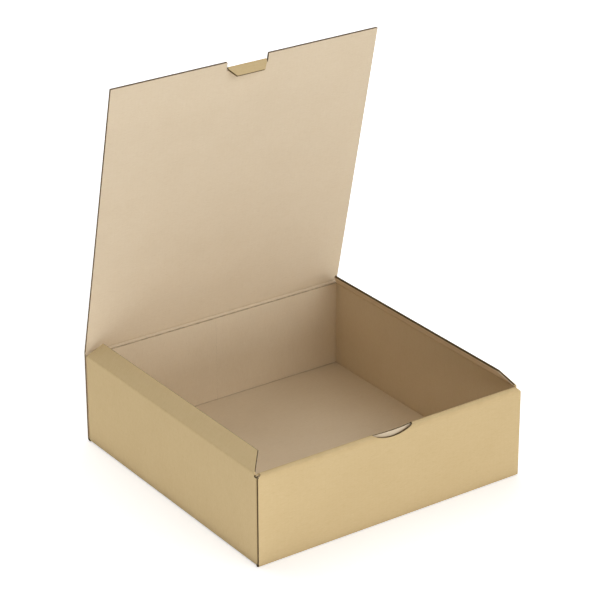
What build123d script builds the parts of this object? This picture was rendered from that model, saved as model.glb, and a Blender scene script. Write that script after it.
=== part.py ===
from build123d import *
import os

# A square carton folded from one sheet of thin corrugated board, standing open.
# Origin at the middle of the base's underside, +X right, +Y to the back, +Z up, millimetres.
# The sheet is one solid wherever it stays folded, and is parted only at the folds that move:
# the lid, its tuck tab and the two dust flaps.

# Box
board = 1.5  # thickness of the corrugated board
box_width = 220.0  # outside, left to right
box_depth = 220.0  # outside, front to back
box_height = 71.0  # outside, with the lid closed
bend_inside = 0.2  # inside radius of the folds that stay put
base_lap = 5.0  # strip of the base that is drawn with the front and back walls
overrun = 5.0  # how far the cuts run past the board

# Clearances
lid_play = 0.3  # between the closed lid and the walls and flaps under it
fold_play = 0.3  # between a moving panel and the edges beside its fold
hinge_play = 0.5  # under the lid's crease, which folds the furthest
seam = 0.3  # between cut edges that only meet

# Front wall: outer panel, tab layer and inner panel, rolled over at the top
front_layers = 3
inner_panel_play = 0.5  # at each end of the inner panel
ridge_bevel = 3.0  # cut off the upper corners
lock_width = 30.0  # tabs that hold the inner panel in the base
lock_spacing = 110.0
lock_recess = 0.2  # their ends stop short of the underside
thumb_width = 33.3  # crescent in the outer panel
thumb_depth = 4.5
thumb_edge_drop = 1.0  # cut edge of the inner panel behind the crescent, below the ridge

# Side walls' tabs
front_tab_length = 70.0  # tucked into the front wall
front_tab_drop = 4.7  # their upper edge, below the ridge
rear_tab_drop = 1.0  # the same for the tabs glued inside the back wall

# Lid
lid_open_angle = 77.25  # as it stands, from closed
lid_inset = 0.5  # front edge of the closed lid, behind the front face

# Tuck tab
tab_width = 32.5  # at its fold
tab_end_width = 23.0
tab_length = 7.2  # fold to free end
tab_fold_angle = 125.0  # as it stands, from flat
tab_play = 0.3  # between the tucked tab and the front wall
tab_side_play = 0.75  # at each end of the lid's notch
tab_relief = 1.3  # crushed strip inside the notch, which lets the tab fold past square
tab_relief_depth = 1.2  # into the board

# Dust flaps
flap_width = 13.7  # fold to free edge
flap_bevel = 8.7  # how far each end slopes in
flap_lean_angle = 38.5  # as they stand, inward from upright

# Places worked out from the sizes above
half_turn = 180.0
half_board = board / 2
half_width = box_width / 2
front_face = -box_depth / 2
back_face = box_depth / 2
bend_middle = bend_inside + half_board
bend_outside = bend_inside + board

lid_underside = box_height - board
wall_top = lid_underside - lid_play
hinge_y = back_face - half_board
hinge_z = box_height - half_board
back_wall_top = hinge_z - half_board - hinge_play

front_thickness = front_layers * board
front_inside = front_face + front_thickness
front_middle = front_face + half_board
ridge_radius = front_thickness / 2
ridge_center_z = wall_top - ridge_radius
ridge_middle_radius = ridge_radius - half_board
inner_panel_y = front_inside - half_board
inner_panel_width = box_width - 2 * (board + inner_panel_play)
panel_foot = board + seam
front_plane = Plane.XZ.offset(-front_face)
thumb_radius = ((thumb_width / 2) ** 2 + thumb_depth**2) / (2 * thumb_depth)
thumb_edge_z = wall_top - thumb_edge_drop

wall_middle_x = half_width - half_board
tab_layer_front = front_face + board + half_board
tab_layer_back = back_face - board - half_board
back_inside = back_face - 2 * board
straight_wall = box_depth - 2 * (board + bend_outside)
front_tab_top = wall_top - front_tab_drop
rear_tab_top = wall_top - rear_tab_drop

flap_axis_z = wall_top - half_board
side_wall_top = flap_axis_z - half_board - fold_play
flap_front = front_inside + fold_play
flap_back = back_inside - fold_play

lid_length = hinge_y - (front_face + lid_inset)
tab_axis = lid_length - (front_thickness + tab_play + half_board - lid_inset)
notch_edge = tab_axis - half_board - fold_play
notch_width = tab_width + 2 * tab_side_play
notch_depth = lid_length - notch_edge

# Planes of the panels that move: local X along the fold, local Y away from it, local Z inward
lid_plane = Plane(Location((0, hinge_y, hinge_z), (half_turn - lid_open_angle, 0, 0)))
tab_plane = Plane(lid_plane.location * Location((0, tab_axis, 0), (tab_fold_angle, 0, 0)))
upright_flap = Plane((-wall_middle_x, 0, flap_axis_z), x_dir=(0, 1, 0), z_dir=(1, 0, 0))
flap_plane = Plane(upright_flap.location * Location((0, 0, 0), (flap_lean_angle, 0, 0)))


with BuildPart() as tray:
    # Base and the feet of the side walls, folded up on both sides
    with BuildSketch(Plane.XZ):
        with BuildLine():
            FilletPolyline(
                (-wall_middle_x, side_wall_top),
                (-wall_middle_x, half_board),
                (wall_middle_x, half_board),
                (wall_middle_x, side_wall_top),
                radius=bend_middle,
            )
        trace(line_width=board)
    extrude(amount=straight_wall / 2, both=True)

    # Side walls bent round in plan: front tab, wall, rear tab
    with BuildSketch(Plane.XY.offset(panel_foot)):
        for side in (-1, 1):
            with BuildLine():
                FilletPolyline(
                    (side * (half_width - front_tab_length), tab_layer_front),
                    (side * wall_middle_x, tab_layer_front),
                    (side * wall_middle_x, tab_layer_back),
                    (side * seam / 2, tab_layer_back),
                    radius=bend_middle,
                )
            trace(line_width=board)
    extrude(amount=rear_tab_top - panel_foot)

    # Side walls end under the flaps, and their front tabs end under the ridge
    with BuildSketch(Plane.XY.offset(side_wall_top)):
        with Locations((0, (front_inside + back_inside) / 2)):
            Rectangle(box_width + overrun, back_inside - front_inside)
    extrude(amount=box_height, mode=Mode.SUBTRACT)
    with BuildSketch(Plane.XY.offset(front_tab_top)):
        with Locations((0, front_inside + seam)):
            Rectangle(box_width + overrun, box_depth, align=(Align.CENTER, Align.MAX))
    extrude(amount=box_height, mode=Mode.SUBTRACT)

    # Back wall, folded up from the base
    with BuildSketch(Plane.YZ):
        with BuildLine():
            FilletPolyline(
                (straight_wall / 2 - base_lap, half_board),
                (hinge_y, half_board),
                (hinge_y, back_wall_top),
                radius=bend_middle,
            )
        trace(line_width=board)
    extrude(amount=half_width, both=True)

    # Front wall: folded up from the base and rolled over at the top
    with BuildSketch(Plane.YZ):
        with BuildLine():
            outer_panel = FilletPolyline(
                (base_lap - straight_wall / 2, half_board),
                (front_middle, half_board),
                (front_middle, ridge_center_z),
                radius=bend_middle,
            )
            JernArc(outer_panel @ 1, outer_panel % 1, ridge_middle_radius, -half_turn)
        trace(line_width=board)
    extrude(amount=half_width, both=True)

    # Inner panel, down to the base
    with BuildSketch(Plane.XY.offset(panel_foot)):
        with Locations((0, inner_panel_y)):
            Rectangle(inner_panel_width, board)
    extrude(amount=ridge_center_z - panel_foot)

    # Bevelled upper corners of the roll-over
    with BuildSketch(front_plane):
        for side in (-1, 1):
            with BuildLine():
                Polyline(
                    (side * (half_width - ridge_bevel), wall_top),
                    (side * half_width, wall_top),
                    (side * half_width, wall_top - ridge_bevel),
                    close=True,
                )
            make_face()
    extrude(amount=-front_thickness, mode=Mode.SUBTRACT)

    # Thumb crescent through the outer panel and the ridge, with the inner panel standing behind it
    with BuildSketch(front_plane):
        with Locations((0, wall_top - thumb_depth + thumb_radius)):
            Circle(thumb_radius)
    extrude(amount=-(front_thickness - board), mode=Mode.SUBTRACT)
    with BuildSketch(Plane.XY.offset(ridge_center_z)):
        with Locations((0, inner_panel_y)):
            Rectangle(thumb_width, board)
    extrude(amount=ridge_radius, mode=Mode.SUBTRACT)
    with BuildSketch(Plane.XY.offset(ridge_center_z)):
        with Locations((0, inner_panel_y)):
            Rectangle(thumb_width, board)
    extrude(amount=thumb_edge_z - ridge_center_z)

    # Locking tabs of the inner panel in their slots in the base
    with BuildSketch(Plane.XY):
        with Locations((-lock_spacing / 2, inner_panel_y), (lock_spacing / 2, inner_panel_y)):
            Rectangle(lock_width + 2 * seam, board + 2 * seam)
    extrude(amount=board, mode=Mode.SUBTRACT)
    with BuildSketch(Plane.XY.offset(lock_recess)):
        with Locations((-lock_spacing / 2, inner_panel_y), (lock_spacing / 2, inner_panel_y)):
            Rectangle(lock_width, board)
    extrude(amount=panel_foot - lock_recess)


with BuildPart() as lid:
    with BuildSketch(lid_plane):
        Rectangle(box_width, lid_length, align=(Align.CENTER, Align.MIN))
        with Locations((0, lid_length)):
            Rectangle(notch_width, notch_depth, align=(Align.CENTER, Align.MAX), mode=Mode.SUBTRACT)
    extrude(amount=half_board, both=True)
    # Crushed strip along the inner edge of the notch, the second edge out from the crease
    inner_face = lid.faces().filter_by(lid_plane).sort_by(Axis(lid_plane.origin, lid_plane.z_dir))[-1]
    cross_edges = inner_face.edges().filter_by(Axis.X)
    notch_back = cross_edges.sort_by(Axis(lid_plane.origin, lid_plane.y_dir))[1]
    chamfer(notch_back, length=tab_relief, length2=tab_relief_depth, reference=inner_face)
    # Rounded edge along the crease
    with Locations(lid_plane.origin):
        Cylinder(half_board, box_width, rotation=(0, half_turn / 2, 0))


with BuildPart() as tuck_tab:
    with BuildSketch(tab_plane):
        with BuildLine():
            Polyline(
                (-tab_width / 2, 0),
                (tab_width / 2, 0),
                (tab_end_width / 2, tab_length),
                (-tab_end_width / 2, tab_length),
                close=True,
            )
        make_face()
    extrude(amount=half_board, both=True)
    with Locations(tab_plane.origin):
        Cylinder(half_board, tab_width, rotation=(0, half_turn / 2, 0))


with BuildPart() as left_dust_flap:
    with BuildSketch(flap_plane):
        with BuildLine():
            Polyline(
                (flap_front, 0),
                (flap_back, 0),
                (flap_back - flap_bevel, flap_width),
                (flap_front + flap_bevel, flap_width),
                close=True,
            )
        make_face()
    extrude(amount=half_board, both=True)
    with Locations((-wall_middle_x, (flap_front + flap_back) / 2, flap_axis_z)):
        Cylinder(half_board, flap_back - flap_front, rotation=(half_turn / 2, 0, 0))


with BuildPart() as right_dust_flap:
    mirror(left_dust_flap.part, about=Plane.YZ)


pieces = {
    "tray": tray,
    "lid": lid,
    "tuck_tab": tuck_tab,
    "left_dust_flap": left_dust_flap,
    "right_dust_flap": right_dust_flap,
}
os.makedirs("parts", exist_ok=True)
for name, piece in pieces.items():
    piece.part.label = name
    export_step(piece.part, f"parts/{name}.step")
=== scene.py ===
import math

import bmesh
import bpy
import numpy as np
from mathutils import Matrix, Vector


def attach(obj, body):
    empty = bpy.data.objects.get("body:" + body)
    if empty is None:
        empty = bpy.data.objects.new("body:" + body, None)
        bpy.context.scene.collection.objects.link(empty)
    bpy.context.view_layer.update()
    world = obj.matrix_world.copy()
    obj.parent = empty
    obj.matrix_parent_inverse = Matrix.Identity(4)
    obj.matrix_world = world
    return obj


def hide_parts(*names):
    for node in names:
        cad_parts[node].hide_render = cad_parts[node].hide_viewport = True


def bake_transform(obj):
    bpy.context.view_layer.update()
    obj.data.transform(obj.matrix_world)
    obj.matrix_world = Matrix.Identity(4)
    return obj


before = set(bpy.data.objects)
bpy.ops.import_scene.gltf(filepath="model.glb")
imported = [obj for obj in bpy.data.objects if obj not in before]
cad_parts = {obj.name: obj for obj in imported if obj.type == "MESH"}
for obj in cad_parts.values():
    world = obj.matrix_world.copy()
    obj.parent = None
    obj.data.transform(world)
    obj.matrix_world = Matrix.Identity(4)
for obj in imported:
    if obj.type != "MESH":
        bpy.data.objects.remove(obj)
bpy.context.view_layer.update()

# A square carton of thin corrugated board, standing open. Sizes in millimetres, as in the CAD model:
# origin at the middle of the base's underside, +X right, +Y to the back, +Z up.
MM = 0.001
SIDES = ((-1, "left"), (1, "right"))
BOARD = 1.5
HALF = BOARD / 2

# Box
HALF_WIDTH = 110.0
WALL_X = HALF_WIDTH - HALF  # middle of a side wall's board
WALL_TOP = 69.2
BACK_TOP = 69.0
SIDE_TOP = 67.4
BEND = 0.95  # radius of the folds that stay put, at the middle of the board
FOLD_START = WALL_X - BEND
STRAIGHT = 106.8  # half the length of the side walls between their corner folds

# Front wall: outer panel, round ridge, and an inner panel that is locked into slots in the base
RIDGE_RADIUS = 2.25
RIDGE_MIDDLE = RIDGE_RADIUS - HALF
RIDGE_Z = WALL_TOP - RIDGE_RADIUS
RIDGE_BEVEL = 3.0  # cut off the upper corners
BEVEL_X = HALF_WIDTH - RIDGE_BEVEL
INNER_Y = -106.25  # middle of the inner panel's board
INNER_HALF = 108.0
PANEL_FOOT = 1.8
LOCK_FOOT = 0.2
LOCK_PLACES = (-55.0, 55.0)
LOCK_HALF = 15.0
SEAM = 0.3  # around the locking tabs
SLOT_HALF = LOCK_HALF + SEAM
SLOT_FRONT = INNER_Y - HALF - SEAM
SLOT_BACK = INNER_Y + HALF + SEAM

# Thumb crescent in the outer panel, and the inner panel behind it
THUMB_HALF = 16.65
THUMB_DEPTH = 4.5
THUMB_RADIUS = (THUMB_HALF**2 + THUMB_DEPTH**2) / (2 * THUMB_DEPTH)
THUMB_EDGE = 68.2  # top of the inner panel there
THUMB_LEAN = 1.25  # how far it leans forward
THUMB_LEAN_POWER = 3  # above 1, it stands straighter near its top
# Distances below its top, down to where the lean ends
THUMB_LEAN_ROWS = (0.0, 3.0, 6.0, 8.0, 10.0, 12.0, 15.0, 18.0, 22.0)

# Side walls' tabs
FRONT_TAB_TOP = 64.5
FRONT_TAB_X = 40.0  # end of the tab that is tucked into the front wall
CORNER_TOP = 66.0  # top of the fold at the front corner
REAR_TAB_TOP = 68.2
BUTT_SEAM = 0.03  # between the two tabs that are glued inside the back wall

# Lid and tuck tab, by distance from their folds
HINGE = (109.25, 70.25)  # Y and Z of the lid's fold
LID_OPEN = 77.25  # degrees from closed
LID_START = 1.0  # end of the crease
LID_LENGTH = 218.75
NOTCH_HALF = 17.0
NOTCH_EDGE = 212.65
RELIEF = 1.3  # width of the crushed strip inside the notch
RELIEF_DEPTH = 1.2
TAB_AXIS = 213.7
TAB_FOLD = 125.0  # degrees from flat
TAB_START = 1.2  # end of the crease
TAB_ROOT = 16.75  # half the width at the fold
TAB_END_HALF = 11.5
TAB_LENGTH = 7.2

# Dust flaps
FLAP_Z = 68.45
FLAP_LEAN = 38.5  # degrees inward from upright
FLAP_START = 1.0  # end of the crease
FLAP_WIDTH = 13.7
FLAP_BEVEL = 8.7
FLAP_FRONT = -105.2
FLAP_BACK = 106.7

# Creases that move
LID_BEND = 0.55  # from the fold's axis to where the crease is straight
LID_GROOVE = 0.55  # how deep the inner face is pressed in
FLAP_BEND = 0.5
FLAP_GROOVE = 0.45
TAB_BEND_RADIUS = 0.03
TAB_BEND_INNER = 0.1  # offset of the inner face in the fold
PRESS_POWER = 0.7  # below 1, a groove is steep at its edges
LID_BLEND = (1.0, 0.8)  # before and past the axis, where a crease goes over to the other body
TAB_BLEND = (0.9, 0.9)
FLAP_BLEND = (0.8, 0.8)

# Corrugated board: two liners and a waved medium between them
LINER = 0.24
CORE = HALF - LINER
MEDIUM = 0.19
PITCH = 3.0
WAVE_STEPS = 12  # per pitch
WAVE_GAP = 0.01
WAVE_HEIGHT = CORE - MEDIUM / 2 - WAVE_GAP
WAVE_SHARPNESS = 1.8
WAVE_SHORTEST = 0.2
CAP = 0.6  # depth of the paper that closes an edge along a flute

# Mesh: distances between columns, and extra ones beside cut edges and folds
PANEL_STEP = 6.0
SIDE_STEP = 5.0
THUMB_STEP = 0.6
LEAN_STEP = 1.5
BEVEL_STEP = 0.3
INNER_BEVEL_STEP = 0.2
CORNER_STEP = 1.0
TAB_STEP = 0.8
FLAP_STEP = 1.2
LID_CREASE_STEP = 20.0
TAB_CREASE_STEP = 4.0
FLAP_CREASE_COLUMNS = 3
TURN_STEPS = 8
RIDGE_TURN_STEPS = 16
FLAP_TURN_STEPS = 10
TAB_TURN_STEPS = 14
RIM_STEPS = (0.3, 1.0, 2.6)
RIM_FAR = 6.0  # stands for no cut edge nearby
CREASE_STEPS = (0.5, 1.2, 2.6)
CREASE_REACH = 1.6  # how far the painted shade of a fold spreads
STEP_GAP = 0.01  # two columns this close make a square step in an edge
PROBE = 0.01
DIGITS = 5
MERGE_METRES = 2e-6
SHORTEST_METRES = 1e-6
SHARP_ANGLE = 35.0

# Material slots
OUTER, INNER, RAW, FLUTE = range(4)

# Papers, in sRGB: plain, darker and lighter fibres, painted shade in creases, painted shade at cut edges
KRAFT = {
    "plain": (216, 191, 144),
    "dark": (196, 167, 117),
    "light": (228, 206, 163),
    "crease_shade": (198, 171, 124),
    # edge: painted shade along the cut edges
    "edge": (138, 115, 78),
}
PALE = {
    "plain": (229, 211, 183),
    "dark": (210, 187, 153),
    "light": (238, 224, 201),
    "crease_shade": (206, 184, 152),
    # edge: painted shade along the cut edges
    "edge": (134, 118, 94),
}
CUT = {"plain": (112, 94, 68), "dark": (82, 68, 48), "light": (134, 114, 84)}
WAVED = {"plain": (132, 108, 76), "dark": (100, 80, 54), "light": (152, 128, 94)}
KRAFT_ROUGHNESS = 0.86
PALE_ROUGHNESS = 0.9
RAW_ROUGHNESS = 0.95
FLECK_SHADE = 0.55  # times the dark colour
SPECK_SHADE = 1.18  # times the light colour

# Noises over the flat sheet: scale across and along the flutes (per metre), detail and roughness
BLOTCH = ((26, 38), 4.0, 0.55)
CLOUD = ((160, 240), 3.0, 0.55)
FIBRE = ((330, 2100), 3.0, 0.6)
GRAIN = ((2300, 2600), 2.0, 0.55)
FLECK = ((560, 2500), 1.0, 0.55)
SPECK = ((900, 1500), 0.0, 0.55)
CUT_FIBRE = ((1500, 2600), 3.0, 0.6)
WAVED_FIBRE = ((500, 2200), 3.0, 0.6)
RAW_BLOTCH = ((110, 150), 3.0, 0.55)

# Ramps: from and to in a pattern, and the strength that these give
BLOTCH_TINT = (0.38, 0.72, 0.0, 0.09)
CLOUD_TINT = (0.45, 0.75, 0.0, 0.07)
DARK_FIBRE_TINT = (0.5, 0.78, 0.0, 0.28)
LIGHT_FIBRE_TINT = (0.46, 0.25, 0.0, 0.25)
FLECK_TINT = (0.74, 0.8, 0.0, 0.3)
SPECK_TINT = (0.78, 0.83, 0.0, 0.2)
# Faint painted shade of the washboard ripple: darker stripes along the flutes
WASHBOARD_SHADE_TINT = (0.1, 1.0, 0.0, 0.03)
# Painted shade in and beside the folds, uneven by the cloud noise
CREASE_SHADE_CLOUD = (0.3, 0.7, 0.1, 0.4)
# Painted shade along the cut edges, by distance from them, uneven by the cloud noise
EDGE_SHADE_RIM = (0.3, 0.0, 0.0, 1.0)  # by distance from the cut edge, in millimetres
EDGE_SHADE_CLOUD = (0.35, 0.65, 0.3, 0.6)
RAW_FIBRE_TINT = (0.45, 0.75, 0.0, 0.7)
RAW_BLOTCH_TINT = (0.45, 0.8, 0.0, 0.5)
ROUGH_FIBRE = (0.2, 0.8)
ROUGH_SPREAD = 0.05

# Relief of the papers: share of each pattern, strength, and depth in metres
FLUTE_HEIGHT = 0.25
FIBRE_HEIGHT = 1.6
GRAIN_HEIGHT = 0.8
CLOUD_HEIGHT = 0.8
PAPER_BUMP = (1.0, 0.000016)
RAW_BUMP = (0.8, 0.00005)
PAPER_SPECULAR = 0.22
RAW_SPECULAR = 0.12

# Studio, in metres
FLOOR_HALF = 12.0
FLOOR_Z = -0.0002
FLOOR_LIT = (0.82, 0.82, 0.82, 1)  # as it lights the box
FLOOR_SEEN = (0.9, 0.9, 0.9, 1)  # as the camera sees it, with a glow that makes it white
FLOOR_GLOW = 0.49
WORLD_FILL = 0.02
WHITE = (1, 1, 1, 1)
WHITE_STRENGTH = 1.0

# Lamps that face the box: azimuth from the front towards +X, elevation, shape, size and radiance
LAMP_DISTANCE = 3.0
LAMPS = (
    ("front_low", 5, 6, "RECTANGLE", (4.4, 0.6), 3.72),
    ("front_high", 10, 40, "RECTANGLE", (3.0, 1.5), 2.3),
    ("left_rear_strip", -120, 2.5, "RECTANGLE", (3.0, 0.24), 6.4),
    ("right_fill", 60, 30, "ELLIPSE", (2.5, 2.5), 0.48),
    ("right_rear_high", 120, 50, "ELLIPSE", (2.5, 2.5), 0.4),
    ("rear_overhead", 178, 53, "ELLIPSE", (5.0, 5.0), 1.39),
)
# Lamps on the floor that face up, as a bright floor lights what stands on it: place, size and radiance
FLOOR_LAMP_Z = 0.001
FLOOR_LAMPS = (
    ("floor_front", (0.0, -0.4425), (1.4, 0.655), 0.17),
    ("floor_left", (-0.4425, -0.15), (0.655, 1.2), 0.45),
)

# Camera, as in the photograph: place in metres, directions, lens and sensor in millimetres
CAMERA_PLACE = (-0.9224, -1.3211, 0.8712)
CAMERA_RIGHT = (0.8192, -0.5735, -0.00225)
CAMERA_FORWARD = (0.5194, 0.7437, -0.4209)
CAMERA_LENS = 153.8
CAMERA_SENSOR = 36.0
CAMERA_FAR = 100.0


class Path:
    """Middle line of the board in a plane: straight runs and round folds, by distance along it."""

    def __init__(self, start, heading, outer):
        self.outer = outer
        self.points = [np.array(start, float)]
        self.headings = [math.radians(heading)]
        self.at = [0.0]
        self.runs = []
        self.turns = []

    def run(self, length):
        heading = self.headings[-1]
        step = np.array((math.cos(heading), math.sin(heading))) * length
        self.points.append(self.points[-1] + step)
        self.headings.append(heading)
        self.at.append(self.at[-1] + length)
        self.runs.append((self.at[-2], self.at[-1]))
        return self

    def turn(self, radius, angle, steps=TURN_STEPS):
        first = self.headings[-1]
        arm = radius * math.copysign(1.0, angle)
        center = self.points[-1] + arm * np.array((-math.sin(first), math.cos(first)))
        began = self.at[-1]
        for k in range(1, steps + 1):
            heading = first + math.radians(angle) * k / steps
            self.points.append(center + arm * np.array((math.sin(heading), -math.cos(heading))))
            self.headings.append(heading)
            self.at.append(began + radius * abs(math.radians(angle)) * k / steps)
        self.turns.append((began, self.at[-1]))
        return self

    def place(self, s, w):
        """The point at distance s and offset w towards the outer face."""
        points = np.array(self.points)
        heading = np.interp(s, self.at, self.headings)
        a = np.interp(s, self.at, points[:, 0]) - np.sin(heading) * w * self.outer
        b = np.interp(s, self.at, points[:, 1]) + np.cos(heading) * w * self.outer
        return a, b

    def rows(self):
        """Distances for the mesh: every point, and extra ones beside the folds."""
        beside = []
        for low, high in self.turns:
            beside += [low - step for step in CREASE_STEPS]
            beside += [high + step for step in CREASE_STEPS]
        return sorted(set(self.at) | {s for s in beside if self.at[0] < s < self.at[-1]})

    def crease(self, s):
        """How close distance s is to a fold: 1 in it, 0 far from it."""
        level = np.zeros_like(s)
        for low, high in self.turns:
            away = np.maximum(np.maximum(low - s, s - high), 0.0)
            level = np.maximum(level, np.exp(-((away / CREASE_REACH) ** 2)))
        return level


def follow_v(path):
    """Places board whose flutes follow a path in the YZ plane."""

    def place(u, v, w):
        y, z = path.place(v, w)
        return u, y, z

    return place


def follow_u(path, side):
    """Places board whose flutes run from front to back and cross a path in the XZ plane."""

    def place(u, v, w):
        x, z = path.place(u, w)
        return side * x, v, z

    return place


def follow_corner(path, side):
    """Places board whose flutes follow a path in the XY plane, round a corner of the tray."""

    def place(u, v, w):
        x, y = path.place(v, w)
        return side * x, y, u

    return place


def flat_panel(origin, along, out):
    """Places a flat panel by its origin, its flutes' direction and its outer side in the YZ plane."""

    def place(u, v, w):
        return u, origin[0] + v * along[0] + w * out[0], origin[1] + v * along[1] + w * out[1]

    return place


def panel_directions(angle):
    """Along a panel that stands at this angle in the YZ plane, and out of its outer face."""
    along = np.array((math.cos(angle), math.sin(angle)))
    return along, np.array((along[1], -along[0]))


def is_mirrored(place, spot):
    """Whether place turns the sheet's own axes into a left-handed set at this spot."""
    origin = np.array(place(*spot))
    arms = [np.array(place(*(np.array(spot) + PROBE * axis))) - origin for axis in np.eye(3)]
    return np.linalg.det(np.array(arms)) < 0


class Board:
    """Gathers the faces of one piece, in millimetres, with the sheet's own flat coordinates."""

    def __init__(self, name):
        self.name = name
        self.verts, self.sheet, self.rim, self.crease = [], [], [], []
        self.faces, self.slots, self.layers = [], [], []

    def slab(self, u, v, low, high, place, skins, sheet_at, rim, crease):
        """A closed layer over the grid u, v, from offset low to offset high.

        The skins are the material slots of its outer face, its inner face, its first and last
        column, and the two ends of its columns.
        """
        outer_skin, inner_skin, edge_skin, end_skin = skins
        n, m = u.shape
        first = len(self.verts)
        ones = np.ones_like(u)
        for w in (low, high):
            xyz = np.stack([c * ones for c in place(u, v, w)], axis=-1)
            flat = np.stack([u + sheet_at[0], v * sheet_at[2] + sheet_at[1], w * ones], axis=-1)
            self.verts.extend(xyz.reshape(-1, 3).tolist())
            self.sheet.extend((flat.reshape(-1, 3) * MM).tolist())
            self.rim.extend(rim.ravel().tolist())
            self.crease.extend(crease.ravel().tolist())
        self.layers.append((first, len(self.verts)))
        mirrored = is_mirrored(place, (u[n // 2, m // 2], v[n // 2, m // 2], 0.0))

        def add(a, b, c, d, slot):
            self.faces.append((a, d, c, b) if mirrored else (a, b, c, d))
            self.slots.append(slot)

        def bottom(i, j):
            return first + i * m + j

        def top(i, j):
            return bottom(i, j) + n * m

        for i in range(n - 1):
            for j in range(m - 1):
                add(top(i, j), top(i + 1, j), top(i + 1, j + 1), top(i, j + 1), outer_skin)
                add(bottom(i, j), bottom(i, j + 1), bottom(i + 1, j + 1), bottom(i + 1, j), inner_skin)
        for i in range(n - 1):
            add(bottom(i, 0), bottom(i + 1, 0), top(i + 1, 0), top(i, 0), end_skin)
            add(bottom(i + 1, m - 1), bottom(i, m - 1), top(i, m - 1), top(i + 1, m - 1), end_skin)
        for j in range(m - 1):
            add(bottom(0, j + 1), bottom(0, j), top(0, j), top(0, j + 1), edge_skin)
            add(bottom(n - 1, j), bottom(n - 1, j + 1), top(n - 1, j + 1), top(n - 1, j), edge_skin)

    def build(self):
        mesh = bpy.data.meshes.new(self.name)
        mesh.from_pydata((np.array(self.verts) * MM).tolist(), [], self.faces)
        for name, kind, field, values in (
            ("sheet", "FLOAT_VECTOR", "vector", np.array(self.sheet).ravel()),
            ("rim", "FLOAT", "value", self.rim),
            ("crease", "FLOAT", "value", self.crease),
        ):
            mesh.attributes.new(name, kind, "POINT").data.foreach_set(field, values)
        for material in MATERIALS:
            mesh.materials.append(material)
        mesh.polygons.foreach_set("material_index", self.slots)
        mesh.polygons.foreach_set("use_smooth", [True] * len(self.faces))
        work = bmesh.new()
        work.from_mesh(mesh)
        work.verts.ensure_lookup_table()
        layers = [[work.verts[k] for k in range(*ends)] for ends in self.layers]
        for layer in layers:
            bmesh.ops.remove_doubles(work, verts=layer, dist=MERGE_METRES)
        bmesh.ops.dissolve_degenerate(work, edges=work.edges, dist=SHORTEST_METRES)
        work.to_mesh(mesh)
        work.free()
        mesh.set_sharp_from_angle(angle=math.radians(SHARP_ANGLE))
        piece = bpy.data.objects.new(self.name, mesh)
        bpy.context.scene.collection.objects.link(piece)
        return piece


def spaced(low, high, step, cuts=(), marks=()):
    """Column places from low to high, closer together beside the cut ends and at the marks."""
    count = max(2, int(math.ceil((high - low) / step)) + 1)
    places = set(np.round(np.linspace(low, high, count), DIGITS).tolist())
    extra = list(marks)
    if "low" in cuts:
        extra += [low + d for d in RIM_STEPS]
    if "high" in cuts:
        extra += [high - d for d in RIM_STEPS]
    places |= {round(q, DIGITS) for q in extra if low < q < high}
    return np.array(sorted(places))


def spaced_on(side, near, far, step, cuts):
    """Columns between two distances from the middle, on one side of it."""
    low, high = sorted((side * near, side * far))
    return spaced(low, high, step, cuts)


def lay_medium(board, place, columns, span, waves, wave_rows, sheet_at):
    """Lays the waved medium over ranges of the columns and ranges along them."""
    for first, last in waves:
        first, last = max(first, columns[0]), min(last, columns[-1])
        if last - first < PITCH / WAVE_STEPS:
            continue
        count = int(math.ceil((last - first) / PITCH * WAVE_STEPS)) + 1
        across = np.linspace(first, last, count)
        reach = np.array([span(c) for c in across])
        for begin, end in wave_rows:
            v = np.clip(reach, begin, end)
            if np.max(v[:, 1] - v[:, 0]) < WAVE_SHORTEST:
                continue
            u = np.repeat(across[:, None], 2, axis=1)
            wave = np.sin(2 * math.pi * (u + sheet_at[0]) / PITCH)
            middle = WAVE_HEIGHT * np.tanh(WAVE_SHARPNESS * wave) / math.tanh(WAVE_SHARPNESS)
            board.slab(u, v, middle - MEDIUM / 2, middle + MEDIUM / 2, place, (FLUTE,) * 4, sheet_at,
                       np.full(u.shape, RIM_FAR), np.zeros_like(u))


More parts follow.
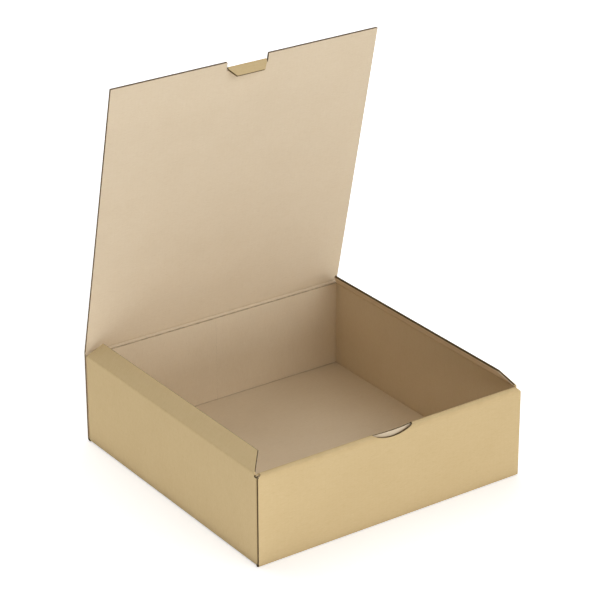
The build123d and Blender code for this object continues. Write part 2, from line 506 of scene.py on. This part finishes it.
def lay_board(board, place, columns, span, rows=(), cuts=(), waves=None, wave_rows=None,
              sheet_at=(0, 0, 1), crease=None, edge=RAW, ends=(RAW, RAW), solid=(), fill=OUTER):
    """Lays corrugated board: columns across the flutes, span(u) the two ends along them.

    The cuts are the edges that get painted shade along them. The solid ranges are filled between the
    liners, and the medium runs everywhere unless its waves (ranges of columns) and wave_rows (along them)
    are given.
    """
    low, high = np.array([span(c) for c in columns]).T
    rows_at = [np.full(len(columns), r) for r in rows] + [low, high]
    if "v_high" in cuts:
        rows_at += [high - d for d in RIM_STEPS]
    v = np.sort(np.clip(np.stack(rows_at, axis=1), low[:, None], high[:, None]), axis=1)
    u = np.repeat(columns[:, None], v.shape[1], axis=1)
    from_edge = {"v_high": high[:, None] - v, "u_low": u - columns[0], "u_high": columns[-1] - u}
    # Distance to the nearest cut edge, where the papers paint shade
    rim = np.full(u.shape, RIM_FAR)
    for cut in cuts:
        rim = np.minimum(rim, from_edge[cut])
    # How near each point is to a fold, which the papers darken as painted crease shade
    level = np.zeros_like(u) if crease is None else crease(u, v)
    board.slab(u, v, CORE, HALF, place, (OUTER, RAW, edge, ends[0]), sheet_at, rim, level)
    board.slab(u, v, -HALF, -CORE, place, (RAW, INNER, edge, ends[1]), sheet_at, rim, level)
    for begin, end in solid:
        reached = np.flatnonzero((high > begin) & (low < end))
        for part in np.split(reached, np.flatnonzero(np.diff(reached) > 1) + 1):
            if len(part) > 1:
                far = np.full(u[part].shape, RIM_FAR)
                board.slab(u[part], np.clip(v[part], begin, end), -CORE, CORE, place, (fill,) * 4,
                           sheet_at, far, np.zeros_like(far))
    if waves is None:
        waves = [(columns[0], columns[-1])]
    if wave_rows is None:
        wave_rows = [(-math.inf, math.inf)]
    lay_medium(board, place, columns, span, waves, wave_rows, sheet_at)


def lay_cap(board, place, top, rows, sheet_at):
    """Closes the board's edge at column top, where it runs along a flute."""
    u, v = np.meshgrid((top - CAP, top), rows, indexing="ij")
    # Its rim is zero, so the papers paint their edge shade over the whole cap
    board.slab(u, v, -CORE, CORE, place, (INNER,) * 4, sheet_at, np.zeros_like(u), np.zeros_like(u))


def pressed(s, first, last):
    """How far a crease is crushed: not at its two ends, fully in the middle."""
    return np.sin((s - first) / (last - first) * math.pi).clip(0, 1) ** PRESS_POWER


def lay_crease(board, place, columns, rows, sheet_at, inner):
    """A crushed fold: one solid layer, with the offset of its inner face given for each row."""
    u, v = np.meshgrid(columns, rows, indexing="ij")
    low = np.repeat(np.array(inner)[None, :], len(columns), axis=0)
    # The crushed level also sets the painted crease shade
    board.slab(u, v, low, np.full(u.shape, HALF), place, (OUTER, INNER, RAW, RAW), sheet_at,
               np.full(u.shape, RIM_FAR), pressed(v, rows[0], rows[-1]))


# Materials: brown outer liner, paler inner liner, cut edges and the medium inside


def node(tree, kind, **values):
    """A new node with these properties."""
    made = tree.nodes.new(kind)
    for key, value in values.items():
        setattr(made, key, value)
    return made


def shader_node(tree, kind, **inputs):
    """A new node with these values on its inputs."""
    made = tree.nodes.new(kind)
    for key, value in inputs.items():
        made.inputs[key].default_value = value
    return made


def math_node(tree, operation, a, b=None):
    made = node(tree, "ShaderNodeMath", operation=operation)
    for socket, value in zip(made.inputs, (a, b)):
        if value is None:
            continue
        if isinstance(value, (int, float)):
            socket.default_value = value
        else:
            tree.links.new(value, socket)
    return made.outputs[0]


def ramp(tree, value, low, high, out_low, out_high):
    made = node(tree, "ShaderNodeMapRange", interpolation_type="SMOOTHSTEP")
    tree.links.new(value, made.inputs["Value"])
    for name, number in (("From Min", low), ("From Max", high), ("To Min", out_low), ("To Max", out_high)):
        made.inputs[name].default_value = number
    return made.outputs["Result"]


def tint(tree, base, other, factor):
    """The colour base, or a link to it, turned towards the other by this factor."""
    made = node(tree, "ShaderNodeMix", data_type="RGBA")
    tree.links.new(factor, made.inputs["Factor"])
    for name, value in (("A", base), ("B", other)):
        socket = [s for s in made.inputs if s.name == name and s.type == "RGBA"][0]
        if isinstance(value, tuple):
            socket.default_value = (*value, 1.0)
        else:
            tree.links.new(value, socket)
    return [s for s in made.outputs if s.type == "RGBA"][0]


def stretched_noise(tree, vector, scale, detail, rough):
    """Noise over the flat sheet, with its own scale across and along the flutes, per metre."""
    stretch = node(tree, "ShaderNodeVectorMath", operation="MULTIPLY")
    tree.links.new(vector, stretch.inputs[0])
    stretch.inputs[1].default_value = (scale[0], scale[1], scale[1])
    noise = shader_node(tree, "ShaderNodeTexNoise", Scale=1.0, Detail=detail, Roughness=rough)
    tree.links.new(stretch.outputs[0], noise.inputs["Vector"])
    return noise.outputs["Fac"]


def add_bump(tree, shader, height, strength, depth):
    bump = shader_node(tree, "ShaderNodeBump", Strength=strength, Distance=depth)
    tree.links.new(height, bump.inputs["Height"])
    tree.links.new(bump.outputs[0], shader.inputs["Normal"])


def linear(colors):
    """Colours of a paper, from sRGB levels up to 255 to linear light."""

    def light(level):
        c = level / 255
        return c / 12.92 if c <= 0.04045 else ((c + 0.055) / 1.055) ** 2.4

    return {name: tuple(light(level) for level in color) for name, color in colors.items()}


def new_material(name):
    material = bpy.data.materials.new(name)
    material.use_nodes = True
    tree = material.node_tree
    sheet = node(tree, "ShaderNodeAttribute", attribute_name="sheet").outputs["Vector"]
    return material, tree, tree.nodes["Principled BSDF"], sheet


def paper(name, colors, rough):
    """Liner paper: blotches, fibres and flecks over the sheet; painted shade along the flutes, at cut rims
    and in creases.
    """
    material, tree, shader, sheet = new_material(name)
    shades = linear(colors)
    dark, light = shades["dark"], shades["light"]
    fleck_color = tuple(c * FLECK_SHADE for c in dark)
    speck_color = tuple(min(1.0, c * SPECK_SHADE) for c in light)
    rim = node(tree, "ShaderNodeAttribute", attribute_name="rim").outputs["Fac"]
    crease = node(tree, "ShaderNodeAttribute", attribute_name="crease").outputs["Fac"]
    blotch, cloud, fibre, grain, fleck, speck = (
        stretched_noise(tree, sheet, *noise) for noise in (BLOTCH, CLOUD, FIBRE, GRAIN, FLECK, SPECK)
    )
    across = node(tree, "ShaderNodeSeparateXYZ")
    tree.links.new(sheet, across.inputs[0])
    turn = math_node(tree, "MULTIPLY", across.outputs[0], 2 * math.pi / (PITCH * MM))
    flute = math_node(tree, "SINE", turn)

    color = shades["plain"]
    for shade, pattern, strength in (
        (dark, blotch, BLOTCH_TINT),
        (light, cloud, CLOUD_TINT),
        (dark, fibre, DARK_FIBRE_TINT),
        (light, fibre, LIGHT_FIBRE_TINT),
        (fleck_color, fleck, FLECK_TINT),
        (speck_color, speck, SPECK_TINT),
        (dark, flute, WASHBOARD_SHADE_TINT),
    ):
        color = tint(tree, color, shade, ramp(tree, pattern, *strength))
    # Painted shade in and beside the folds
    crease_shade_mask = math_node(tree, "MULTIPLY", crease, ramp(tree, cloud, *CREASE_SHADE_CLOUD))
    color = tint(tree, color, shades["crease_shade"], crease_shade_mask)
    # Painted shade along the cut edges
    edge_shade_mask = math_node(tree, "MULTIPLY", ramp(tree, rim, *EDGE_SHADE_RIM), ramp(tree, cloud, *EDGE_SHADE_CLOUD))
    color = tint(tree, color, shades["edge"], edge_shade_mask)
    tree.links.new(color, shader.inputs["Base Color"])

    height = math_node(tree, "MULTIPLY", flute, FLUTE_HEIGHT)
    for pattern, share in ((fibre, FIBRE_HEIGHT), (grain, GRAIN_HEIGHT), (cloud, CLOUD_HEIGHT)):
        height = math_node(tree, "ADD", height, math_node(tree, "MULTIPLY", pattern, share))
    add_bump(tree, shader, height, *PAPER_BUMP)
    dullness = ramp(tree, fibre, *ROUGH_FIBRE, rough - ROUGH_SPREAD, rough + ROUGH_SPREAD)
    tree.links.new(dullness, shader.inputs["Roughness"])
    shader.inputs["Specular IOR Level"].default_value = PAPER_SPECULAR
    return material


def raw_board(name, colors, fibre_noise):
    """Cut edges and the waved medium: coarse fibres and a dull surface."""
    material, tree, shader, sheet = new_material(name)
    shades = linear(colors)
    fibre = stretched_noise(tree, sheet, *fibre_noise)
    blotch = stretched_noise(tree, sheet, *RAW_BLOTCH)
    color = tint(tree, shades["plain"], shades["dark"], ramp(tree, fibre, *RAW_FIBRE_TINT))
    color = tint(tree, color, shades["light"], ramp(tree, blotch, *RAW_BLOTCH_TINT))
    tree.links.new(color, shader.inputs["Base Color"])
    add_bump(tree, shader, fibre, *RAW_BUMP)
    shader.inputs["Roughness"].default_value = RAW_ROUGHNESS
    shader.inputs["Specular IOR Level"].default_value = RAW_SPECULAR
    return material


# In the order of the material slots
MATERIALS = [
    paper("kraft_outer_liner", KRAFT, KRAFT_ROUGHNESS),
    paper("pale_inner_liner", PALE, PALE_ROUGHNESS),
    raw_board("cut_edges", CUT, CUT_FIBRE),
    raw_board("waved_medium", WAVED, WAVED_FIBRE),
]


# Tray: base, walls and corner tabs


def in_lock(x, reach):
    return any(abs(x - place) <= reach for place in LOCK_PLACES)


def step_marks(reach):
    """Columns for the square steps at both ends of the locking tabs, or of their slots."""
    return [x + side * (reach + gap) for x in LOCK_PLACES for side in (-1, 1) for gap in (0.0, STEP_GAP)]


def base_span(x):
    return (SLOT_BACK if in_lock(x, SLOT_HALF) else -STRAIGHT), STRAIGHT


def tray_base():
    board = Board("tray_base")
    columns = spaced(-FOLD_START, FOLD_START, PANEL_STEP, marks=step_marks(SLOT_HALF))
    lay_board(board, lambda u, v, w: (u, v, HALF - w), columns, base_span)
    return board


front_path = Path((-STRAIGHT, HALF), 180, 1)
front_path.run(FOLD_START - STRAIGHT).turn(BEND, -90).run(RIDGE_Z - HALF - BEND)
ridge_at = front_path.at[-1]
front_path.turn(RIDGE_MIDDLE, -180, RIDGE_TURN_STEPS)
roll_end = front_path.at[-1]
front_path.run(RIDGE_Z - LOCK_FOOT)
foot_at = roll_end + RIDGE_Z - PANEL_FOOT
lock_at = front_path.at[-1]
thumb_path = Path((INNER_Y, THUMB_EDGE), -90, 1).run(THUMB_EDGE - PANEL_FOOT)
thumb_rows = (*THUMB_LEAN_ROWS, thumb_path.at[-1])


def ridge_height(z, far=False):
    """Distance along the front wall's sheet where it reaches height z, before or past the ridge."""
    if z <= RIDGE_Z:
        return roll_end + RIDGE_Z - z if far else ridge_at - (RIDGE_Z - z)
    angle = math.asin(min(1.0, (z - RIDGE_Z) / RIDGE_RADIUS))
    return ridge_at + RIDGE_MIDDLE * ((math.pi - angle) if far else angle)


def front_span(x):
    start = -SLOT_FRONT - STRAIGHT if in_lock(x, SLOT_HALF) else 0.0
    return start, (lock_at if in_lock(x, LOCK_HALF) else foot_at)


def thumb_span(x):
    height = WALL_TOP - THUMB_DEPTH + THUMB_RADIUS - math.sqrt(THUMB_RADIUS**2 - x**2)
    return 0.0, ridge_height(height)


def bevel_height(x):
    return WALL_TOP - (abs(x) - BEVEL_X)


def outer_bevel_span(x):
    return 0.0, ridge_height(bevel_height(x))


def inner_bevel_span(x):
    return ridge_height(bevel_height(x), True), foot_at


def roll_bevel_span(x):
    return ridge_height(bevel_height(x), True), roll_end


def thumb_place(u, v, w):
    """The inner panel behind the crescent, where no tab holds it away from the outer panel."""
    y, z = thumb_path.place(v, w)
    held = np.clip(1.0 - np.asarray(v) / THUMB_LEAN_ROWS[-1], 0.0, 1.0)
    lean_share = (1.0 - (1.0 - held) ** THUMB_LEAN_POWER) * held * (1.0 - (u / THUMB_HALF) ** 2)
    return u, y - THUMB_LEAN * lean_share, z


def front_wall():
    board = Board("tray_front_wall")
    place = follow_v(front_path)
    roll = [front_path.turns[1]]
    common = {
        "rows": front_path.rows(),
        "wave_rows": front_path.runs[1:],
        "sheet_at": (0, -STRAIGHT, -1),
        "crease": lambda u, v: front_path.crease(v),
    }
    foot_marks = step_marks(SLOT_HALF) + step_marks(LOCK_HALF)
    for low, high in ((-BEVEL_X, -THUMB_HALF), (THUMB_HALF, BEVEL_X)):
        columns = spaced(low, high, PANEL_STEP, marks=foot_marks)
        lay_board(board, place, columns, front_span, cuts=("v_high",), **common)
    columns = spaced(-THUMB_HALF, THUMB_HALF, THUMB_STEP)
    lay_board(board, place, columns, thumb_span, cuts=("v_high",), solid=roll, fill=RAW, **common)
    columns = spaced(-THUMB_HALF, THUMB_HALF, LEAN_STEP, ("low", "high"))
    lay_board(board, thumb_place, columns, lambda x: (0.0, thumb_path.at[-1]), thumb_rows,
              wave_rows=list(zip(thumb_rows, thumb_rows[1:])),
              sheet_at=(0, -STRAIGHT - ridge_at - RIDGE_MIDDLE * math.pi / 2, -1), ends=(OUTER, INNER))
    for side, cut, edge in ((-1, "low", "u_low"), (1, "high", "u_high")):
        for near, far, step, span in (
            (BEVEL_X, HALF_WIDTH, BEVEL_STEP, outer_bevel_span),
            (BEVEL_X, INNER_HALF, INNER_BEVEL_STEP, inner_bevel_span),
            (INNER_HALF, BEVEL_X + RIDGE_RADIUS, INNER_BEVEL_STEP, roll_bevel_span),
        ):
            columns = spaced_on(side, near, far, step, (cut,))
            lay_board(board, place, columns, span, cuts=(edge,), ends=(OUTER, INNER), solid=roll, **common)
    return board


back_path = Path((STRAIGHT, HALF), 0, -1)
back_path.run(FOLD_START - STRAIGHT).turn(BEND, 90).run(BACK_TOP - HALF - BEND)


def back_wall():
    board = Board("tray_back_wall")
    columns = spaced(-HALF_WIDTH, HALF_WIDTH, PANEL_STEP, ("low", "high"))
    lay_board(board, follow_v(back_path), columns, lambda x: (0.0, back_path.at[-1]), back_path.rows(),
              ("u_low", "u_high"), wave_rows=[back_path.runs[1]], sheet_at=(0, STRAIGHT, 1),
              crease=lambda u, v: back_path.crease(v))
    return board


side_path = Path((FOLD_START, HALF), 0, -1).turn(BEND, 90).run(SIDE_TOP - HALF - BEND)
front_bend = Path((WALL_X, -STRAIGHT), -90, 1).turn(BEND, -90).run(FOLD_START - FRONT_TAB_X)
rear_bend = Path((WALL_X, STRAIGHT), 90, -1).turn(BEND, 90).run(FOLD_START - BUTT_SEAM / 2)
corner_at = side_path.at[-1] - (SIDE_TOP - CORNER_TOP)


def side_span(s):
    """The wall ends at the flap above the front corner's fold, and reaches that fold below."""
    return (FLAP_FRONT if s > corner_at + STEP_GAP / 2 else -STRAIGHT), STRAIGHT


def side_wall(side, name):
    board = Board(f"tray_{name}_wall")
    columns = spaced(0.0, side_path.at[-1], SIDE_STEP, marks=(corner_at, corner_at + STEP_GAP))
    columns = np.array(sorted(set(columns.tolist()) | set(side_path.rows())))
    lay_board(board, follow_u(side_path, side), columns, side_span, waves=[side_path.runs[0]],
              sheet_at=(side * FOLD_START, 0, 1), crease=lambda u, v: side_path.crease(u),
              edge=OUTER, ends=(OUTER, INNER))
    for bend, top, way in ((front_bend, FRONT_TAB_TOP, -1), (rear_bend, REAR_TAB_TOP, 1)):
        place = follow_corner(bend, side)
        sheet_at = (side * FOLD_START, way * STRAIGHT, way)
        lay_board(board, place, spaced(PANEL_FOOT, top, SIDE_STEP, ("low", "high")),
                  lambda z: (0.0, bend.at[-1]), bend.rows(), ("u_low", "u_high"),
                  waves=[(PANEL_FOOT, top - CAP)], wave_rows=[bend.runs[0]], sheet_at=sheet_at,
                  crease=lambda u, v: bend.crease(v), edge=INNER)
        lay_cap(board, place, top, bend.rows(), sheet_at)
    columns = spaced(FRONT_TAB_TOP, CORNER_TOP, CORNER_STEP, ("high",))
    lay_board(board, follow_corner(front_bend, side), columns, lambda z: (0.0, front_bend.turns[0][1]),
              front_bend.rows(), ("u_high",), waves=(), sheet_at=(side * FOLD_START, -STRAIGHT, -1),
              crease=lambda u, v: front_bend.crease(v), edge=OUTER)
    return board


# Lid, tuck tab and dust flaps

lid_angle = math.radians(180 - LID_OPEN)
lid_along, lid_out = panel_directions(lid_angle)
lid_place = flat_panel(HINGE, lid_along, lid_out)
lid_sheet_v = STRAIGHT + back_path.at[-1] + HINGE[1] - BACK_TOP
tab_along, tab_out = panel_directions(lid_angle + math.radians(TAB_FOLD))
tab_origin = np.array(HINGE) + TAB_AXIS * lid_along
tab_place = flat_panel(tab_origin, tab_along, tab_out)
tab_slope = TAB_LENGTH / (TAB_ROOT - TAB_END_HALF)
tab_reach = TAB_ROOT - TAB_START / tab_slope


def lid_panel():
    board = Board("lid_panel")
    sheet_at = (0, lid_sheet_v, 1)
    for side, outer_edge, notch_side in ((-1, "u_low", "u_high"), (1, "u_high", "u_low")):
        columns = spaced_on(side, HALF_WIDTH, NOTCH_HALF, PANEL_STEP, ("low", "high"))
        lay_board(board, lid_place, columns, lambda x: (LID_START, NOTCH_EDGE), cuts=(outer_edge,),
                  sheet_at=sheet_at)
        lay_board(board, lid_place, columns, lambda x: (NOTCH_EDGE, LID_LENGTH),
                  cuts=(outer_edge, notch_side, "v_high"), sheet_at=sheet_at)
    columns = spaced(-NOTCH_HALF, NOTCH_HALF, PANEL_STEP)
    lay_board(board, lid_place, columns, lambda x: (LID_START, NOTCH_EDGE - RELIEF), sheet_at=sheet_at)
    lay_crease(board, lid_place, columns, (NOTCH_EDGE - RELIEF, NOTCH_EDGE), sheet_at,
               (-HALF, RELIEF_DEPTH - HALF))
    return board


def tab_span(x):
    return TAB_START, min(TAB_LENGTH, max(TAB_START, (TAB_ROOT - abs(x)) * tab_slope))


def tuck_tab_panel():
    board = Board("tuck_tab_panel")
    columns = spaced(-tab_reach, tab_reach, TAB_STEP, marks=(-TAB_END_HALF, TAB_END_HALF))
    lay_board(board, tab_place, columns, tab_span, cuts=("v_high",),
              sheet_at=(0, lid_sheet_v + TAB_AXIS, 1))
    return board


def fold_radius(bend, angle):
    """Radius of a fold that begins this far from its axis."""
    return bend / math.tan(math.radians(angle / 2))


flap_path = Path((WALL_X, SIDE_TOP), 90, -1).run(FLAP_Z - SIDE_TOP - FLAP_BEND)
flap_path.turn(fold_radius(FLAP_BEND, FLAP_LEAN), FLAP_LEAN, FLAP_TURN_STEPS).run(FLAP_START - FLAP_BEND)
flap_crease_end = flap_path.at[-1]
flap_path.run(FLAP_WIDTH - FLAP_START)
flap_slope = FLAP_BEVEL / FLAP_WIDTH


def flap_span(s):
    out = max(0.0, s - flap_crease_end + FLAP_START)
    return FLAP_FRONT + flap_slope * out, FLAP_BACK - flap_slope * out


def flap_sheet(side):
    return side * (FOLD_START + side_path.at[-1]), 0, 1


def dust_flap(side, name):
    board = Board(f"{name}_dust_flap_panel")
    columns = spaced(flap_crease_end, flap_path.at[-1], FLAP_STEP)
    lay_board(board, follow_u(flap_path, side), columns, flap_span, sheet_at=flap_sheet(side),
              ends=(OUTER, INNER))
    return board


def flap_crease(side, name):
    board = Board(f"{name}_flap_crease")
    rows = np.array([s for s in flap_path.at if s <= flap_crease_end])
    ends = np.array([flap_span(s) for s in rows])
    share = np.linspace(0.0, 1.0, FLAP_CREASE_COLUMNS)
    v = ends[:, :1] + (ends[:, 1:] - ends[:, :1]) * share[None, :]
    u = np.repeat(rows[:, None], len(share), axis=1)
    # The crushed level sets the groove's depth and the painted crease shade
    press = pressed(u, rows[0], rows[-1])
    board.slab(u, v, FLAP_GROOVE * press - HALF, np.full(u.shape, HALF), follow_u(flap_path, side),
               (OUTER, INNER, RAW, OUTER), flap_sheet(side), np.full(u.shape, RIM_FAR), press)
    return board


def lid_crease():
    board = Board("lid_crease")
    lean = 90 - LID_OPEN
    path = Path((HINGE[0], BACK_TOP), 90, -1).run(HINGE[1] - BACK_TOP - LID_BEND)
    path.turn(fold_radius(LID_BEND, lean), lean).run(LID_START - LID_BEND)
    rows = np.array(path.at)
    lay_crease(board, follow_v(path), spaced(-HALF_WIDTH, HALF_WIDTH, LID_CREASE_STEP), rows,
               (0, STRAIGHT + back_path.at[-1], 1), LID_GROOVE * pressed(rows, rows[0], rows[-1]) - HALF)
    return board


def tuck_tab_crease():
    board = Board("tuck_tab_crease")
    bend = TAB_BEND_RADIUS * math.tan(math.radians(TAB_FOLD / 2))
    path = Path((NOTCH_EDGE, 0.0), 0, 1).run(TAB_AXIS - NOTCH_EDGE - bend)
    path.turn(TAB_BEND_RADIUS, -TAB_FOLD, TAB_TURN_STEPS).run(TAB_START - bend)

    def place(u, v, w):
        along, out = path.place(v, w)
        return lid_place(u, along, out)

    inner = np.interp(path.at, (0.0, *path.turns[0], path.at[-1]),
                      (RELIEF_DEPTH - HALF, TAB_BEND_INNER, TAB_BEND_INNER, -HALF))
    lay_crease(board, place, spaced(-tab_reach, tab_reach, TAB_CREASE_STEP), path.at,
               (0, lid_sheet_v + NOTCH_EDGE, 1), inner)
    return board


# Each piece rides on its body; the folds are built in place and ride on none

for board, body, replaced in (
    (tray_base(), "tray", "tray"),
    (front_wall(), "tray", None),
    (back_wall(), "tray", None),
    *((side_wall(side, name), "tray", None) for side, name in SIDES),
    (lid_panel(), "lid", "lid"),
    (tuck_tab_panel(), "tuck_tab", "tuck_tab"),
    *((dust_flap(side, name), f"{name}_dust_flap", f"{name}_dust_flap") for side, name in SIDES),
):
    piece = board.build()
    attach(piece, body)
    if replaced:
        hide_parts(replaced)

hinge = Vector((0, HINGE[0], HINGE[1])) * MM
tab_hinge = Vector((0, tab_origin[0], tab_origin[1])) * MM
upright = Vector((0, 0, 1))
lid_way = Vector((0, lid_along[0], lid_along[1]))
tab_way = Vector((0, tab_along[0], tab_along[1]))
bends = [
    (lid_crease(), "tray", "lid", hinge, upright, lid_way, LID_BLEND),
    (tuck_tab_crease(), "lid", "tuck_tab", tab_hinge, lid_way, tab_way, TAB_BLEND),
]
flap_angle = math.radians(FLAP_LEAN)
for side, name in SIDES:
    flap_body = f"{name}_dust_flap"
    fold = Vector((side * WALL_X, 0, FLAP_Z)) * MM
    flap_way = Vector((-side * math.sin(flap_angle), 0, math.cos(flap_angle)))
    bends.append((flap_crease(side, name), "tray", flap_body, fold, upright, flap_way, FLAP_BLEND))
for board, first, second, axis, way_in, way_out, reach in bends:
    piece = board.build()
    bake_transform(piece)

# Studio: white floor and surroundings, soft lamps around the box and on the floor, and a camera that
# stands as in the photograph


def choose_by_ray(tree, unseen, seen, output):
    """Shows one shader to the rays of the camera, gloss and glass, and the other to the rest."""
    rays = tree.nodes.new("ShaderNodeLightPath").outputs
    looks = math_node(tree, "MAXIMUM", rays["Is Camera Ray"], rays["Is Glossy Ray"])
    looks = math_node(tree, "MAXIMUM", looks, rays["Is Transmission Ray"])
    choose = tree.nodes.new("ShaderNodeMixShader")
    tree.links.new(looks, choose.inputs["Fac"])
    tree.links.new(unseen.outputs[0], choose.inputs[1])
    tree.links.new(seen.outputs[0], choose.inputs[2])
    tree.links.new(choose.outputs[0], tree.nodes.new(output).inputs["Surface"])


floor_mesh = bpy.data.meshes.new("floor")
floor_corners = [(x * FLOOR_HALF, y * FLOOR_HALF, FLOOR_Z) for x, y in ((-1, -1), (1, -1), (1, 1), (-1, 1))]
floor_mesh.from_pydata(floor_corners, [], [(0, 1, 2, 3)])
floor = bpy.data.objects.new("floor", floor_mesh)
bpy.context.scene.collection.objects.link(floor)
floor_material = bpy.data.materials.new("white_floor")
floor_material.use_nodes = True
tree = floor_material.node_tree
tree.nodes.clear()
floor_lit = shader_node(tree, "ShaderNodeBsdfDiffuse", Color=FLOOR_LIT)
floor_seen = shader_node(tree, "ShaderNodeBsdfDiffuse", Color=FLOOR_SEEN)
glow = shader_node(tree, "ShaderNodeEmission", Strength=FLOOR_GLOW)
glowing = tree.nodes.new("ShaderNodeAddShader")
tree.links.new(floor_seen.outputs[0], glowing.inputs[0])
tree.links.new(glow.outputs[0], glowing.inputs[1])
choose_by_ray(tree, floor_lit, glowing, "ShaderNodeOutputMaterial")
floor_mesh.materials.append(floor_material)

world = bpy.data.worlds.new("studio")
bpy.context.scene.world = world
world.use_nodes = True
tree = world.node_tree
tree.nodes.clear()
world_fill = shader_node(tree, "ShaderNodeBackground", Strength=WORLD_FILL)
world_white = shader_node(tree, "ShaderNodeBackground", Color=WHITE, Strength=WHITE_STRENGTH)
choose_by_ray(tree, world_fill, world_white, "ShaderNodeOutputWorld")


def add_lamp(name, shape, size, radiance, location, rotation):
    """A flat lamp that the camera doesn't see."""
    lamp = bpy.data.lights.new(name, "AREA")
    lamp.shape = shape
    lamp.size, lamp.size_y = size
    area = size[0] * size[1] * (math.pi / 4 if shape == "ELLIPSE" else 1.0)
    lamp.energy = math.pi * radiance * area
    holder = bpy.data.objects.new(name, lamp)
    holder.location = location
    holder.rotation_euler = rotation
    holder.visible_camera = False
    bpy.context.scene.collection.objects.link(holder)


for name, azimuth, elevation, shape, size, radiance in LAMPS:
    az, el = math.radians(azimuth), math.radians(elevation)
    toward = Vector((math.sin(az) * math.cos(el), -math.cos(az) * math.cos(el), math.sin(el)))
    facing = (-toward).to_track_quat("-Z", "Y").to_euler()
    add_lamp(name, shape, size, radiance, toward * LAMP_DISTANCE, facing)
for name, center, size, radiance in FLOOR_LAMPS:
    add_lamp(name, "RECTANGLE", size, radiance, (*center, FLOOR_LAMP_Z), (math.pi, 0, 0))

camera_data = bpy.data.cameras.new("camera")
camera_data.sensor_width = CAMERA_SENSOR
camera_data.sensor_fit = "HORIZONTAL"
camera_data.lens = CAMERA_LENS
camera_data.clip_end = CAMERA_FAR
camera = bpy.data.objects.new("camera", camera_data)
right = Vector(CAMERA_RIGHT).normalized()
up = right.cross(Vector(CAMERA_FORWARD).normalized()).normalized()
forward = up.cross(right).normalized()
turned = Matrix((right, up, -forward)).transposed().to_4x4()
camera.matrix_world = Matrix.Translation(CAMERA_PLACE) @ turned
bpy.context.scene.collection.objects.link(camera)
bpy.context.scene.camera = camera
bpy.context.scene.view_settings.view_transform = "Standard"
